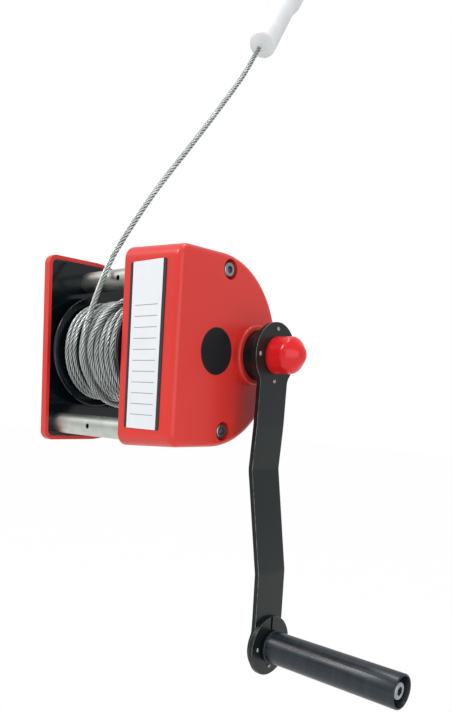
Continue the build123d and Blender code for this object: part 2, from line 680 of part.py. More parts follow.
nut_seat = arm_front + nut_washer_thickness
nut_washer = ring(arm_front, nut_seat, nut_washer_radius, shaft_bore, crank_axis)
nut = extrude(facing_x(nut_seat) * Pos(crank_axis, 0)
              * RegularPolygon(nut_flats / 2, 6, major_radius=False), nut_height)
nut -= rod(0, past_crank, shaft_bore, crank_axis)
cap_base = arm_front
dome = [(5.0, 3.4), (9.0, 7.6), (11.6, 12.2)]
cap_outside = make_face(
    Polyline((0, 0), (0, cap_knob_radius), (cap_knob_straight, cap_knob_radius))
    + Spline(
        (cap_knob_straight, cap_knob_radius),
        *[(cap_knob_straight + along_axis, cap_knob_radius - inwards) for along_axis, inwards in dome],
        (cap_knob_length, 0),
        tangents=((1, -0.1), (0, -1)),
    )
    + Line((cap_knob_length, 0), (0, 0))
)
knob_cap = Pos(cap_base, crank_axis, 0) * revolve(cap_outside, Axis.X, 360)
inside_radius = cap_knob_radius - cap_knob_wall
knob_cap -= rod(cap_base - 1, cap_base + cap_knob_straight, inside_radius, crank_axis)

# Grip: a tube that turns on a fixed spindle, kept by a washer and a bolt in its hollow end
spindle_end = grip_start + grip_length - grip_end_depth
spindle = ring(grip_start, spindle_end + turning_gap, spindle_radius, grip_bolt_size / 2 + press_fit,
               crank_axis, -crank_length)
grip = rod(grip_start + turning_gap, grip_start + grip_length, grip_radius, crank_axis, -crank_length)
grip = fillet(grip.edges().filter_by(GeomType.CIRCLE), grip_round)
grip -= rod(grip_start - 1, grip_start + grip_length + 1, spindle_radius + spindle_play,
            crank_axis, -crank_length)
grip -= rod(spindle_end, grip_start + grip_length + 1, grip_radius - grip_end_wall,
            crank_axis, -crank_length)
groove_x = grip_start + grip_groove_place
grip -= ring(groove_x, groove_x + grip_groove_width, grip_radius + 1, grip_radius - grip_groove_depth,
             crank_axis, -crank_length)
washer_x = spindle_end + turning_gap
bolt_seat = washer_x + grip_washer_thickness
grip_washer = ring(washer_x, bolt_seat, grip_radius - grip_end_wall - 0.6,
                   grip_bolt_size / 2 + press_fit, crank_axis, -crank_length)
grip_bolt_length = bolt_seat - foot_back + 1.5 * grip_nut_height
grip_bolt = on_x(socket_screw(grip_bolt_size, grip_bolt_length), bolt_seat, crank_axis, -crank_length)
grip_nut = extrude(facing_x(foot_back - grip_nut_height) * Pos(crank_axis, -crank_length)
                   * RegularPolygon(grip_nut_flats / 2, 6, major_radius=False), grip_nut_height)
grip_nut -= rod(0, past_crank, grip_bolt_size / 2, crank_axis, -crank_length)

# Name plate on the flat front of the case
front_plane = Plane(origin=(0, -case_front, 0), x_dir=(1, 0, 0), z_dir=(0, -1, 0))
name_plate = front_plane * Pos(-name_plate_edge - name_plate_width / 2, name_plate_middle)
name_plate = name_plate * fillet(Rectangle(name_plate_width, name_plate_height).vertices(), 2)
name_plate = extrude(name_plate, name_plate_thickness)

# Free rope: straight runs joined by large arcs
route = [Vector(*p) for p in rope_route]
radii = []
for a, b, c in zip(route, route[1:], route[2:]):
    turn = (b - a).get_angle(c - b)
    radii.append(0.45 * min((b - a).length, (c - b).length) / tan(radians(turn) / 2))
print("rope radii", [round(r) for r in radii])
rope_path = FilletPolyline(*route, radius=radii)
rope_section = Plane(origin=rope_path @ 0, z_dir=rope_path % 0) * Circle(rope_diameter / 2)
free_rope = sweep(rope_section, path=rope_path)
print("rope length", round(rope_path.length, 1), "volume over section times length",
      round(free_rope.volume / (pi * rope_diameter ** 2 / 4 * rope_path.length), 4))

# End of the rope: white sleeve, ferrule, and an eye round a thimble
rope_end = route[-1]
rope_way = (route[-1] - route[-2]).normalized()
sideways = Vector(1, 0, 0) - rope_way * rope_way.X
inner_run = sleeve_length - ferrule_length
end_plane = Plane(origin=rope_end - rope_way * inner_run, x_dir=sideways.normalized(), z_dir=rope_way)


def at_end(profile, shift=(0, 0)):
    """A solid of revolution about the rope's end; profile holds (radius, distance) corners."""
    face = make_face(Polyline(*profile, close=True))
    return end_plane * Pos(*shift) * revolve(Plane.XZ * face, Axis.Z, 360)


sleeve_inner = sleeve_radius - sleeve_wall
taper_start = sleeve_length - sleeve_mouth_length
taper_end = taper_start + sleeve_taper
rope_sleeve = at_end([
    (0, 0), (sleeve_radius - 1.5, 0), (sleeve_radius, 1.5),
    (sleeve_radius, taper_start), (sleeve_radius + sleeve_flare, taper_end),
    (sleeve_radius + sleeve_flare, sleeve_length), (sleeve_inner + sleeve_flare, sleeve_length),
    (sleeve_inner + sleeve_flare, taper_end), (sleeve_inner, taper_start), (sleeve_inner, sleeve_end_wall),
    (0, sleeve_end_wall),
], sleeve_shift)
rope_hole = rope_diameter / 2 + sleeve_fit
hole_end = sleeve_end_wall + 1
rope_sleeve -= at_end([(0, -1), (rope_hole, -1), (rope_hole, hole_end), (0, hole_end)])
ferrule = at_end([
    (0, inner_run), (ferrule_radius, inner_run), (ferrule_radius, sleeve_length), (0, sleeve_length)
])
eye_radius = thimble_radius + rope_diameter / 2 + 1.5
eye_plane = Plane(
    origin=end_plane.origin + rope_way * sleeve_length, x_dir=end_plane.z_dir, z_dir=end_plane.x_dir
)
foot_offset = rope_diameter / 2 + 0.1
lean = acos((eye_radius - foot_offset) / thimble_throat)
tangent_point = (thimble_throat - eye_radius * cos(lean), eye_radius * sin(lean))
eye_line = Line((0, foot_offset), tangent_point)
eye_line += ThreePointArc(
    tangent_point, (thimble_throat + eye_radius, 0), (tangent_point[0], -tangent_point[1])
)
eye_line += Line((tangent_point[0], -tangent_point[1]), (0, -foot_offset))
eye_wire = eye_plane * eye_line
start_plane = Plane(origin=eye_wire @ 0, z_dir=eye_wire % 0)
rope_eye = sweep(start_plane * Circle(rope_diameter / 2), path=eye_wire)
groove = sweep(start_plane * Circle(rope_diameter / 2 + 0.1), path=eye_wire)


def teardrop(radius):
    """Outline of the eye at a distance inside the rope's centre line."""
    angle = acos(radius / thimble_throat)
    point = (thimble_throat - radius * cos(angle), radius * sin(angle))
    line = Line((0, 0), point)
    line += ThreePointArc(point, (thimble_throat + radius, 0), (point[0], -point[1]))
    line += Line((point[0], -point[1]), (0, 0))
    return make_face(line)


thimble_outline = teardrop(thimble_radius + thimble_wall) - teardrop(thimble_radius)
thimble_outline -= Rectangle(2 * thimble_opening, 4 * thimble_radius)
thimble = extrude(eye_plane * thimble_outline, thimble_width / 2, both=True) - groove
ferrule -= rope_eye

# Every piece, moved so that the origin is the middle of the base plate's bolts
pieces = {
    "gear_case": gear_case,
    "axle_cap": axle_cap,
    "case_screws": case_screws,
    "name_plate": name_plate,
    "gear_side_plate": gear_plate,
    "far_side_plate": far_plate,
    "far_cover": far_cover,
    "far_cover_screws": cover_screws,
    "top_tie_tube": tie_tube(top_tube),
    "bottom_tie_tube": tie_tube(bottom_tube),
    "tie_tube_plugs": tube_plugs,
    "tie_tube_screws": tie_screws,
    "rear_base_plate": base_plate,
    "base_plate_screws": base_screws,
    "far_drum_bush": far_bush,
    "gear_side_drum_bush": gear_side_bush,
    "case_drum_bush": case_bush,
    "crank_inner_bush": crank_inner_bush,
    "crank_outer_bush": crank_outer_bush,
    "pawl_pin": pawl_pin,
    "pawl_spring": pawl_spring,
    "drum_shaft": drum_shaft,
    "drum_barrel": barrel,
    "far_drum_flange": far_drum_flange,
    "near_drum_flange": near_drum_flange,
    "drum_spacers": [far_spacer, inner_spacer, gear_spacer],
    "drum_gear": drum_gear,
    "gear_key": gear_key,
    "wound_rope": rope_pack,
    "rope_tail": rope_tail,
    "rope_clamp": clamp_plate,
    "rope_clamp_screws": clamp_screws,
    "crank_pinion_shaft": crank_shaft,
    "brake_flange": brake_flange,
    "inner_brake_lining": inner_lining,
    "outer_brake_lining": outer_lining,
    "brake_pressure_hub": pressure_hub,
    "crank_hub": crank_hub,
    "crank_arm": crank_arm,
    "crank_head_rivets": head_rivets,
    "crank_washer": nut_washer,
    "crank_nut": nut,
    "crank_nut_cap": knob_cap,
    "crank_foot_flange": foot_flange,
    "crank_foot_rivets": foot_rivets,
    "grip_spindle": spindle,
    "grip_washer": grip_washer,
    "grip_bolt": grip_bolt,
    "grip_nut": grip_nut,
    "grip_sleeve": grip,
    "ratchet_wheel": ratchet_wheel,
    "ratchet_bush": ratchet_bush,
    "brake_pawl": pawl,
    "free_rope": free_rope,
    "rope_end_sleeve": rope_sleeve,
    "rope_ferrule": ferrule,
    "rope_eye": rope_eye,
    "rope_thimble": thimble,
}
to_base = Pos(-base_x, -base_rear, 0)
for name, piece in pieces.items():
    solids = piece if isinstance(piece, list) else [piece]
    moved = [to_base * solid for solid in solids]
    shape = moved[0] if len(moved) == 1 else Compound(children=moved)
    export_step(shape, f"parts/{name}.step")
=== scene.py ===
"""Looks of the hand winch: painted covers, glossy plates, laid wire rope, satin crank and grip."""
import json
from math import acos, cos, exp, pi, radians, sin, sqrt, tau

import bmesh
import bpy
from mathutils import Matrix, Vector, noise


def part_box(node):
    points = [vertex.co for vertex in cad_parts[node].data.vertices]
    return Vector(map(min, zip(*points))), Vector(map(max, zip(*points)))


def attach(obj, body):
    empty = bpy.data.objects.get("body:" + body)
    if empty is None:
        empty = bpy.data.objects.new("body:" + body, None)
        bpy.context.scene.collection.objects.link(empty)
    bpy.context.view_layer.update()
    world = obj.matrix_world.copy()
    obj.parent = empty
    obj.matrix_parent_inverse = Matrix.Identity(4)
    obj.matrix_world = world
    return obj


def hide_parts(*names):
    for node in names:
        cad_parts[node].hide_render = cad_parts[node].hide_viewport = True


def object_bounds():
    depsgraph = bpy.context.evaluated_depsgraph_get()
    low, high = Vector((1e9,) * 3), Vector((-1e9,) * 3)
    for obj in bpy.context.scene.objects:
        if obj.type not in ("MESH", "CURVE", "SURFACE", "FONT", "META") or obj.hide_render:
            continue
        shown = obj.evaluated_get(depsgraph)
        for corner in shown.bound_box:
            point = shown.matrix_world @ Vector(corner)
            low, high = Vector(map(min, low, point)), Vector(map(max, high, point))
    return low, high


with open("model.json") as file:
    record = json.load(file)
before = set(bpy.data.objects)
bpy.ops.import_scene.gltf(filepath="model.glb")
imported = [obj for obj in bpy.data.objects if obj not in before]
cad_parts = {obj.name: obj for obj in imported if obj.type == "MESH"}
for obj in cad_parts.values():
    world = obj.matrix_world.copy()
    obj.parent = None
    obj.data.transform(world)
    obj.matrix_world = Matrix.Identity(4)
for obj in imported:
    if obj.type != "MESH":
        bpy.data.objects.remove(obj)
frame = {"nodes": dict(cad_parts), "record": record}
cad_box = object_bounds()
slot_of = {part["node"]: part["material_slot"] for part in frame["record"]["subparts"]}
bodies = frame["record"]["behaviour"]["bodies"]
body_of = {node: body for body, nodes in bodies.items() for node in nodes}

# Places, in metres: where the drum's axis meets the gear case's closed face, the crank's axis, the grip's
drum_place = Vector((0.12875, -0.071, 0.0))
crank_place = drum_place + Vector((0.0, 0.052, 0.0))
grip_place = crank_place + Vector((0.0, 0.0, -0.2802))
axle_way = Vector((1, 0, 0))
up = Vector((0, 0, 1))

# Wire rope
rope_diameter = 0.006
rope_lay = 0.034          # one turn of a strand round the rope
strand_count = 6
wires_seen = 4            # across one strand's outer face
wire_pitch = 1 / 420      # along the rope, from one wire to the next
rope_route = [drum_place + Vector(point) for point in (
    (-0.1295, -0.0490, 0.0256),
    (-0.1406, -0.0202, 0.0808),
    (-0.1447, 0.0125, 0.1242),
    (-0.1498, 0.0565, 0.1775),
    (-0.1565, 0.1183, 0.2425),
    (-0.1642, 0.1875, 0.3186),
    (-0.1681, 0.2210, 0.3580),
    (-0.1769, 0.2871, 0.4553),
)]

# Rope on the drum
wrap_step = tau / 150     # of a turn between two sections of a wrap
layer_radius = 0.0487     # of the outer layer's middle line
over_radius = 0.0545      # of a wrap that lies over the outer layer
bed_radius = layer_radius - 0.0036
bed_bore = 0.0251
far_layer_drop = 0.001    # the wraps by the far flange lie a little lower

# The rope's end: a soft sleeve, and an eye round a thimble
sleeve_length = 0.112
sleeve_radius = 0.0165
sleeve_wall = 0.0025
sleeve_end_wall = 0.006
sleeve_mouth_length = 0.042   # the wide end, its taper included
sleeve_taper = 0.020
sleeve_flare = 0.0035
ferrule_length = 0.024
thimble_throat = 0.026
thimble_radius = 0.010
rope_way = (rope_route[-1] - rope_route[-2]).normalized()
sideways = (Vector((1, 0, 0)) - rope_way * rope_way.x).normalized()
upwards = rope_way.cross(sideways)
sleeve_mouth = rope_route[-1] - rope_way * (sleeve_length - ferrule_length)
sleeve_shift = sideways * 0.0060 - upwards * 0.0021   # the rope leaves the closed end off its middle

# Crank and grip
cap_wall = 0.002
cap_shoulder = 0.0150     # from the cap's open end to the start of its cone
cap_bead_length = 0.0022
cap_bead_height = 0.0002
grip_bore = 0.0125
grip_end_wall = 0.002
grip_end_depth = 0.0145
grip_groove_place = 0.0036
grip_groove_depth = 0.0005
rivet_reach = 0.0021
rivet_shank = 0.0016
arm_face = crank_place.x + 0.0291
disc_face = crank_place.x + 0.0499

# Camera, from the photograph's perspective
photo_width = 452
photo_height = 712
focal_pixels = 710.84
axis_pixel = (143.26, 512.71)
camera_place = drum_place + Vector((0.44111, -0.50794, -0.04136))
camera_yaw = radians(46.07)
camera_pitch = radians(-9.53)
camera_roll = radians(2.92)
sensor = 36.0

# Stage
floor_drop = 0.16         # the winch is bolted to a post, clear of the floor
floor_half_width = 6.0
floor_grey = (0.86, 0.86, 0.86)
floor_shown_white = 0.98  # the rest shows the winch's shadow
sky_tint = (0.95, 0.975, 1.0)
sky_strength = 0.6
sky_in_gloss = 0.35       # how much of the white background a glossy surface shows
white = (1.0, 1.0, 1.0)
lit_middle = Vector((0.06, -0.05, 0.0))


def make_camera():
    level_share = cos(camera_pitch)
    ahead = Vector((-sin(camera_yaw) * level_share, cos(camera_yaw) * level_share, sin(camera_pitch)))
    level = Vector((cos(camera_yaw), sin(camera_yaw), 0.0))
    upright = level.cross(ahead)
    to_right = level * cos(camera_roll) + upright * sin(camera_roll)
    to_top = upright * cos(camera_roll) - level * sin(camera_roll)
    lens = bpy.data.cameras.new("camera")
    lens.sensor_width = sensor
    lens.lens = focal_pixels / photo_height * sensor
    lens.shift_x = (photo_width / 2 - axis_pixel[0]) / photo_height
    lens.shift_y = (axis_pixel[1] - photo_height / 2) / photo_height
    lens.clip_start = 0.02
    lens.clip_end = 40.0
    camera = bpy.data.objects.new("camera", lens)
    turn = Matrix((to_right, to_top, -ahead)).transposed().to_4x4()
    camera.matrix_world = Matrix.Translation(camera_place) @ turn
    bpy.context.scene.collection.objects.link(camera)
    bpy.context.scene.camera = camera


# Nodes of a finish
def connect(tree, socket, value):
    """Feeds an input from another node's socket, or sets its number, vector or colour."""
    if isinstance(value, bpy.types.NodeSocket):
        tree.links.new(value, socket)
    elif socket.type == "RGBA":
        socket.default_value = (*value, 1.0)
    else:
        socket.default_value = value


def add(tree, kind, settings=None, **inputs):
    """A node with its settings and inputs; an underscore stands for a space in an input's name."""
    node = tree.nodes.new(kind)
    for key, value in (settings or {}).items():
        setattr(node, key, value)
    for key, value in inputs.items():
        connect(tree, node.inputs[key.replace("_", " ")], value)
    return node


def calculate(tree, operation, *values):
    node = tree.nodes.new("ShaderNodeMath")
    node.operation = operation
    for socket, value in zip(node.inputs, values):
        connect(tree, socket, value)
    return node.outputs["Value"]


def place_of(tree, stretch=(1.0, 1.0, 1.0)):
    """Object coordinates, drawn out along an axis by a stretch below 1."""
    place = add(tree, "ShaderNodeTexCoord").outputs["Object"]
    return add(tree, "ShaderNodeMapping", Vector=place, Scale=stretch).outputs["Vector"]


def cloud(tree, place, scale, detail=3.0, rough=0.55):
    """Soft noise from 0 to 1, mostly near its middle."""
    node = add(tree, "ShaderNodeTexNoise", Vector=place, Scale=scale, Detail=detail, Roughness=rough)
    return node.outputs["Fac"]


def between(tree, value, source, target):
    """Draws a value from one range into another, cut off at both ends."""
    node = tree.nodes.new("ShaderNodeMapRange")
    for socket, number in zip(node.inputs, (value, *source, *target)):
        connect(tree, socket, number)
    return node.outputs["Result"]


def patches(tree, place, scale, detail, spread, rough=0.55):
    """Noise drawn out until it reaches 0 and 1; a smaller spread gives the patches harder edges."""
    noise_here = cloud(tree, place, scale, detail, rough)
    return between(tree, noise_here, (0.5 - spread, 0.5 + spread), (0.0, 1.0))


def blend_colours(tree, factor, first, second):
    node = tree.nodes.new("ShaderNodeMix")
    node.data_type = "RGBA"
    connect(tree, node.inputs["Factor"], factor)
    connect(tree, node.inputs["A"], first)
    connect(tree, node.inputs["B"], second)
    return [socket for socket in node.outputs if socket.type == "RGBA"][0]


def relief(tree, height, strength, distance, under=None):
    node = add(tree, "ShaderNodeBump", Strength=strength, Distance=distance, Height=height)
    if under is not None:
        tree.links.new(under, node.inputs["Normal"])
    return node.outputs["Normal"]


finishes = {}


def new_finish(name, roughness, metallic=0.0, **sockets):
    """A material kept under its name; an underscore stands for a space in a socket's name."""
    finishes[name] = bpy.data.materials.new(name)
    finishes[name].use_nodes = True
    tree = finishes[name].node_tree
    shader = tree.nodes["Principled BSDF"]
    shader.inputs["Roughness"].default_value = roughness
    shader.inputs["Metallic"].default_value = metallic
    for key, value in sockets.items():
        shader.inputs[key.replace("_", " ")].default_value = value
    return tree, shader.inputs


# Finishes
def painted(name, colour, deeper, rubbed_and_highlight, roughness, orange_peel, coat, coat_roughness, gloss):
    """Sprayed enamel: slow shade changes, orange peel, faint scuffs, a clear top and shiny edges, lightened
    partly by rubbed paint and partly by painted highlight.
    """
    tree, inputs = new_finish(name, roughness=roughness, Coat_Weight=coat, Coat_Roughness=coat_roughness,
                              Specular_IOR_Level=gloss)
    rubbed_roughness = 0.16
    place = place_of(tree)
    paint = blend_colours(tree, patches(tree, place, scale=9.0, detail=2.0, spread=0.2), colour, deeper)
    edge = add(tree, "ShaderNodeAttribute", {"attribute_name": "edge"}).outputs["Fac"]
    touched = between(tree, cloud(tree, place, scale=130.0, detail=4.0, rough=0.6), (0.4, 0.6), (0.25, 1.0))
    # Lighter, shinier edges: partly rubbed paint, partly a painted highlight where light catches the rounded
    # edges.
    wear_and_highlight = calculate(tree, "MULTIPLY", edge, touched)
    connect(tree, inputs["Base Color"], blend_colours(tree, wear_and_highlight, paint, rubbed_and_highlight))
    scuffs = cloud(tree, place, scale=90.0, detail=4.0, rough=0.6)
    plain = between(tree, scuffs, (0.3, 0.7), (roughness * 0.92, roughness * 1.1))
    connect(tree, inputs["Roughness"], between(tree, edge, (0.0, 1.0), (plain, rubbed_roughness)))
    peel = relief(tree, cloud(tree, place, scale=620.0, detail=2.0), strength=orange_peel, distance=0.0002)
    connect(tree, inputs["Normal"], peel)
    connect(tree, inputs["Coat Normal"], peel)


def plated(name, colour, deeper, roughness, stretch=(1.0, 1.0, 1.0)):
    """Metal with a drawn or turned grain and a cloudy plating."""
    tree, inputs = new_finish(name, roughness=roughness, metallic=1.0)
    rough_spread = 0.35
    grain = cloud(tree, place_of(tree, stretch=stretch), scale=900.0, detail=5.0, rough=0.65)
    tone = patches(tree, place_of(tree), scale=55.0, detail=5.0, spread=0.18, rough=0.6)
    connect(tree, inputs["Base Color"], blend_colours(tree, tone, colour, deeper))
    smoothest = roughness * (1 - rough_spread / 2)
    connect(tree, inputs["Roughness"],
            calculate(tree, "MULTIPLY_ADD", grain, rough_spread * roughness, smoothest))
    connect(tree, inputs["Normal"], relief(tree, grain, strength=0.12, distance=0.0001))


def moulded(name, colour, deeper, roughness, grain_scale, grain_strength, **sockets):
    """Plastic or vinyl with a fine moulded grain."""
    tree, inputs = new_finish(name, roughness=roughness, **sockets)
    place = place_of(tree)
    shade = patches(tree, place, scale=30.0, detail=4.0, spread=0.15)
    connect(tree, inputs["Base Color"], blend_colours(tree, shade, colour, deeper))
    handled = cloud(tree, place, scale=120.0, detail=6.0, rough=0.7)
    connect(tree, inputs["Roughness"],
            between(tree, handled, (0.3, 0.7), (roughness * 0.85, roughness * 1.2)))
    grain = cloud(tree, place, scale=grain_scale, detail=3.0)
    connect(tree, inputs["Normal"], relief(tree, grain, strength=grain_strength, distance=0.0002))


def rope_wires(tree):
    """How far off a strand's crest a spot lies, and how near to the middle of a wire."""
    lay = add(tree, "ShaderNodeUVMap", {"uv_map": "lay"}).outputs["UV"]
    parts = add(tree, "ShaderNodeSeparateXYZ", Vector=lay)
    along, around = parts.outputs["X"], parts.outputs["Y"]
    strand = calculate(tree, "FRACT", calculate(tree, "MULTIPLY", around, float(strand_count)))
    from_crest = calculate(tree, "ABSOLUTE", calculate(tree, "SUBTRACT", strand, 0.5))
    wires_across = calculate(tree, "MULTIPLY", strand, float(wires_seen))
    wires_along = calculate(tree, "MULTIPLY", along, 1 / wire_pitch)
    wires = calculate(tree, "SUBTRACT", wires_across, wires_along)
    wave = calculate(tree, "SINE", calculate(tree, "MULTIPLY", wires, pi))
    return from_crest, calculate(tree, "ABSOLUTE", wave)


def distance_from_drum_axis(tree, place):
    offset = add(tree, "ShaderNodeSeparateXYZ", Vector=place)
    high = calculate(tree, "SUBTRACT", offset.outputs["Z"], drum_place.z)
    back = calculate(tree, "SUBTRACT", offset.outputs["Y"], drum_place.y)
    squares = calculate(tree, "ADD", calculate(tree, "MULTIPLY", high, high),
                        calculate(tree, "MULTIPLY", back, back))
    return calculate(tree, "SQRT", squares)


def wire_rope_finish():
    """Galvanised wires as fine stripes, with painted shade down in the grooves between strands and deep on
    the drum.
    """
    tree, inputs = new_finish("wire_rope", roughness=0.36, metallic=0.85)
    deep_shade_full = layer_radius - 0.0008
    deep_shade_none = layer_radius + 0.0014
    from_crest, wire = rope_wires(tree)
    place = place_of(tree)
    dull = cloud(tree, place, scale=85.0, detail=4.0)
    dulled = between(tree, dull, (0.3, 0.7), (0.0, 1.0))
    bright = blend_colours(tree, dulled, (0.60, 0.63, 0.61), (0.38, 0.41, 0.40))
    # Painted shade in the grooves between strands.
    shade = between(tree, from_crest, (0.22, 0.5), (0.0, 0.88))
    toned = blend_colours(tree, shade, bright, (0.05, 0.056, 0.055))
    gaps = between(tree, wire, (0.0, 0.4), (0.3, 0.0))
    wired = blend_colours(tree, gaps, toned, (0.1, 0.105, 0.1))
    # Painted shade: darker nearer the drum's axis, under and between the wraps, and on the bed and tail.
    from_axis = distance_from_drum_axis(tree, place)
    painted_deep_shade = between(tree, from_axis, (deep_shade_full, deep_shade_none), (0.94, 0.0))
    connect(tree, inputs["Base Color"], blend_colours(tree, painted_deep_shade, wired, (0.014, 0.018, 0.018)))
    connect(tree, inputs["Roughness"], between(tree, dull, (0.3, 0.7), (0.3, 0.48)))
    connect(tree, inputs["Normal"], relief(tree, wire, strength=0.45, distance=0.00012))


def ruled_fields(tree, place, from_middle):
    """Hairlines of an empty form: one field under another, with nothing filled in."""
    low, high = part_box("name_plate")
    field_height = 0.0098
    hairline = 0.00035
    margin = 0.008
    clear_top = 0.034
    darkness = 0.75
    height = add(tree, "ShaderNodeSeparateXYZ", Vector=place).outputs["Z"]
    above_first = calculate(tree, "SUBTRACT", height, low.z + margin)
    fields = calculate(tree, "DIVIDE", above_first, field_height)
    off = calculate(tree, "ABSOLUTE", calculate(tree, "SUBTRACT", calculate(tree, "FRACT", fields), 0.5))
    line = calculate(tree, "LESS_THAN", calculate(tree, "MULTIPLY", off, field_height), hairline)
    inside = calculate(tree, "LESS_THAN", from_middle, (high.x - low.x) / 2 - margin)
    started = calculate(tree, "GREATER_THAN", fields, 0.0)
    ended = calculate(tree, "LESS_THAN", height, high.z - clear_top)
    shown = calculate(tree, "MULTIPLY", calculate(tree, "MULTIPLY", line, inside),
                      calculate(tree, "MULTIPLY", started, ended))
    return calculate(tree, "MULTIPLY", shown, darkness)


def name_plate_finish():
    """White film with a narrow black stripe along both long sides and an empty ruled form."""
    tree, inputs = new_finish("plate_film", roughness=0.34)
    low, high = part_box("name_plate")
    half = (high.x - low.x) / 2
    stripe_width = 0.0036
    place = add(tree, "ShaderNodeTexCoord").outputs["Object"]
    across = add(tree, "ShaderNodeSeparateXYZ", Vector=place).outputs["X"]
    from_middle = calculate(tree, "ABSOLUTE", calculate(tree, "SUBTRACT", across, (low.x + high.x) / 2))
    stripe = calculate(tree, "GREATER_THAN", from_middle, half - stripe_width)
    dust = between(tree, cloud(tree, place, scale=45.0, detail=5.0), (0.35, 0.7), (0.0, 0.5))
    film = blend_colours(tree, dust, (0.74, 0.755, 0.77), (0.68, 0.70, 0.72))
    ruled = blend_colours(tree, ruled_fields(tree, place, from_middle), film, (0.12, 0.125, 0.13))
    connect(tree, inputs["Base Color"], blend_colours(tree, stripe, ruled, (0.018, 0.018, 0.02)))
    waves = cloud(tree, place, scale=260.0, detail=3.0)
    connect(tree, inputs["Normal"], relief(tree, waves, strength=0.06, distance=0.0002))


def sleeve_finish():
    """Milky soft vinyl."""
    tree, inputs = new_finish("white_sleeve", roughness=0.38, Subsurface_Weight=0.12, Subsurface_Scale=0.003,
                              Coat_Weight=0.15, Coat_Roughness=0.25)
    place = place_of(tree)
    shade = patches(tree, place, scale=40.0, detail=4.0, spread=0.2)
    milky = blend_colours(tree, shade, (0.76, 0.77, 0.77), (0.68, 0.69, 0.70))
    connect(tree, inputs["Base Color"], milky)
    waves = cloud(tree, place, scale=300.0, detail=3.0)
    connect(tree, inputs["Normal"], relief(tree, waves, strength=0.08, distance=0.0003))


def grip_finish():
    """Black moulded grip, polished in long streaks by gloves."""
    tree, inputs = new_finish("black_grip", roughness=0.32, Specular_IOR_Level=0.5)
    streaks = cloud(tree, place_of(tree, stretch=(0.03, 1.0, 1.0)), scale=420.0, detail=4.0, rough=0.6)
    bands = cloud(tree, place_of(tree, stretch=(1.0, 0.1, 0.1)), scale=150.0, detail=3.0, rough=0.6)
    shade = between(tree, calculate(tree, "ADD", streaks, bands), (0.75, 1.25), (0.0, 1.0))
    black = blend_colours(tree, shade, (0.002, 0.005, 0.008), (0.009, 0.018, 0.027))
    connect(tree, inputs["Base Color"], black)
    connect(tree, inputs["Roughness"], between(tree, streaks, (0.3, 0.7), (0.2, 0.46)))
    fine = cloud(tree, place_of(tree), scale=1800.0, detail=3.0)
    grain = relief(tree, fine, strength=0.08, distance=0.0002)
    connect(tree, inputs["Normal"], relief(tree, streaks, strength=0.12, distance=0.0002, under=grain))


def lining_finish():
    """Pressed fibre with brass flecks."""
    tree, inputs = new_finish("friction_lining", roughness=0.75)
    fibres = cloud(tree, place_of(tree, stretch=(1.0, 0.3, 1.0)), scale=700.0, detail=6.0, rough=0.7)
    brass = cloud(tree, place_of(tree), scale=900.0, detail=1.0)
    flecks = calculate(tree, "GREATER_THAN", brass, 0.68)
    brown = blend_colours(tree, fibres, (0.26, 0.2, 0.15), (0.12, 0.09, 0.07))
    connect(tree, inputs["Base Color"], blend_colours(tree, flecks, brown, (0.6, 0.45, 0.2)))
    connect(tree, inputs["Normal"], relief(tree, fibres, strength=0.4, distance=0.0003))


def make_finishes():
    """One finish for each material slot of the CAD model."""
    # The edge colours lighten rounded edges as rubbed paint and as painted highlight; the black enamel's
    # near-white edge is mostly painted highlight.
    painted("red_enamel", colour=(0.66, 0.034, 0.025), deeper=(0.61, 0.030, 0.022),
            rubbed_and_highlight=(0.70, 0.07, 0.06), roughness=0.36, orange_peel=0.05,
            coat=0.12, coat_roughness=0.2, gloss=0.35)
    moulded("black_cap", colour=(0.007, 0.008, 0.01), deeper=(0.010, 0.011, 0.014),
            roughness=0.45, grain_scale=1500.0, grain_strength=0.15, Specular_IOR_Level=0.2)
    painted("black_enamel", colour=(0.0015, 0.004, 0.006), deeper=(0.003, 0.0065, 0.009),
            rubbed_and_highlight=(0.7, 0.72, 0.75), roughness=0.12, orange_peel=0.03,
            coat=0.0, coat_roughness=0.06, gloss=0.4)
    painted("crank_black", colour=(0.004, 0.007, 0.007), deeper=(0.0065, 0.0105, 0.010),
            rubbed_and_highlight=(0.30, 0.32, 0.34), roughness=0.34, orange_peel=0.08,
            coat=0.0, coat_roughness=0.2, gloss=0.3)
    plated("zinc_tube", colour=(0.60, 0.63, 0.59), deeper=(0.48, 0.51, 0.46), roughness=0.4,
           stretch=(0.02, 1.0, 1.0))
    plated("zinc_fastener", colour=(0.36, 0.38, 0.41), deeper=(0.25, 0.27, 0.30), roughness=0.34)
    plated("rivet_bright", colour=(0.34, 0.35, 0.37), deeper=(0.22, 0.23, 0.25), roughness=0.42)
    plated("machined_steel", colour=(0.5, 0.5, 0.51), deeper=(0.42, 0.42, 0.43), roughness=0.3,
           stretch=(1.0, 0.08, 0.08))
    plated("bush_bronze", colour=(0.62, 0.42, 0.2), deeper=(0.52, 0.33, 0.15), roughness=0.32,
           stretch=(1.0, 0.1, 0.1))
    lining_finish()
    wire_rope_finish()
    plated("ferrule_aluminium", colour=(0.77, 0.77, 0.78), deeper=(0.7, 0.7, 0.71), roughness=0.3)
    plated("thimble_zinc", colour=(0.66, 0.66, 0.66), deeper=(0.56, 0.57, 0.57), roughness=0.3)
    sleeve_finish()
    moulded("red_cap", colour=(0.72, 0.010, 0.012), deeper=(0.62, 0.008, 0.010),
            roughness=0.22, grain_scale=1400.0, grain_strength=0.03,
            Subsurface_Weight=0.08, Subsurface_Scale=0.004, Specular_IOR_Level=0.36)
    grip_finish()
    name_plate_finish()


def dress_frame():
    """Every CAD node gets its slot's finish."""
    for node, name in slot_of.items():
        for slot in frame["nodes"][node].material_slots:
            slot.material = finishes[name]


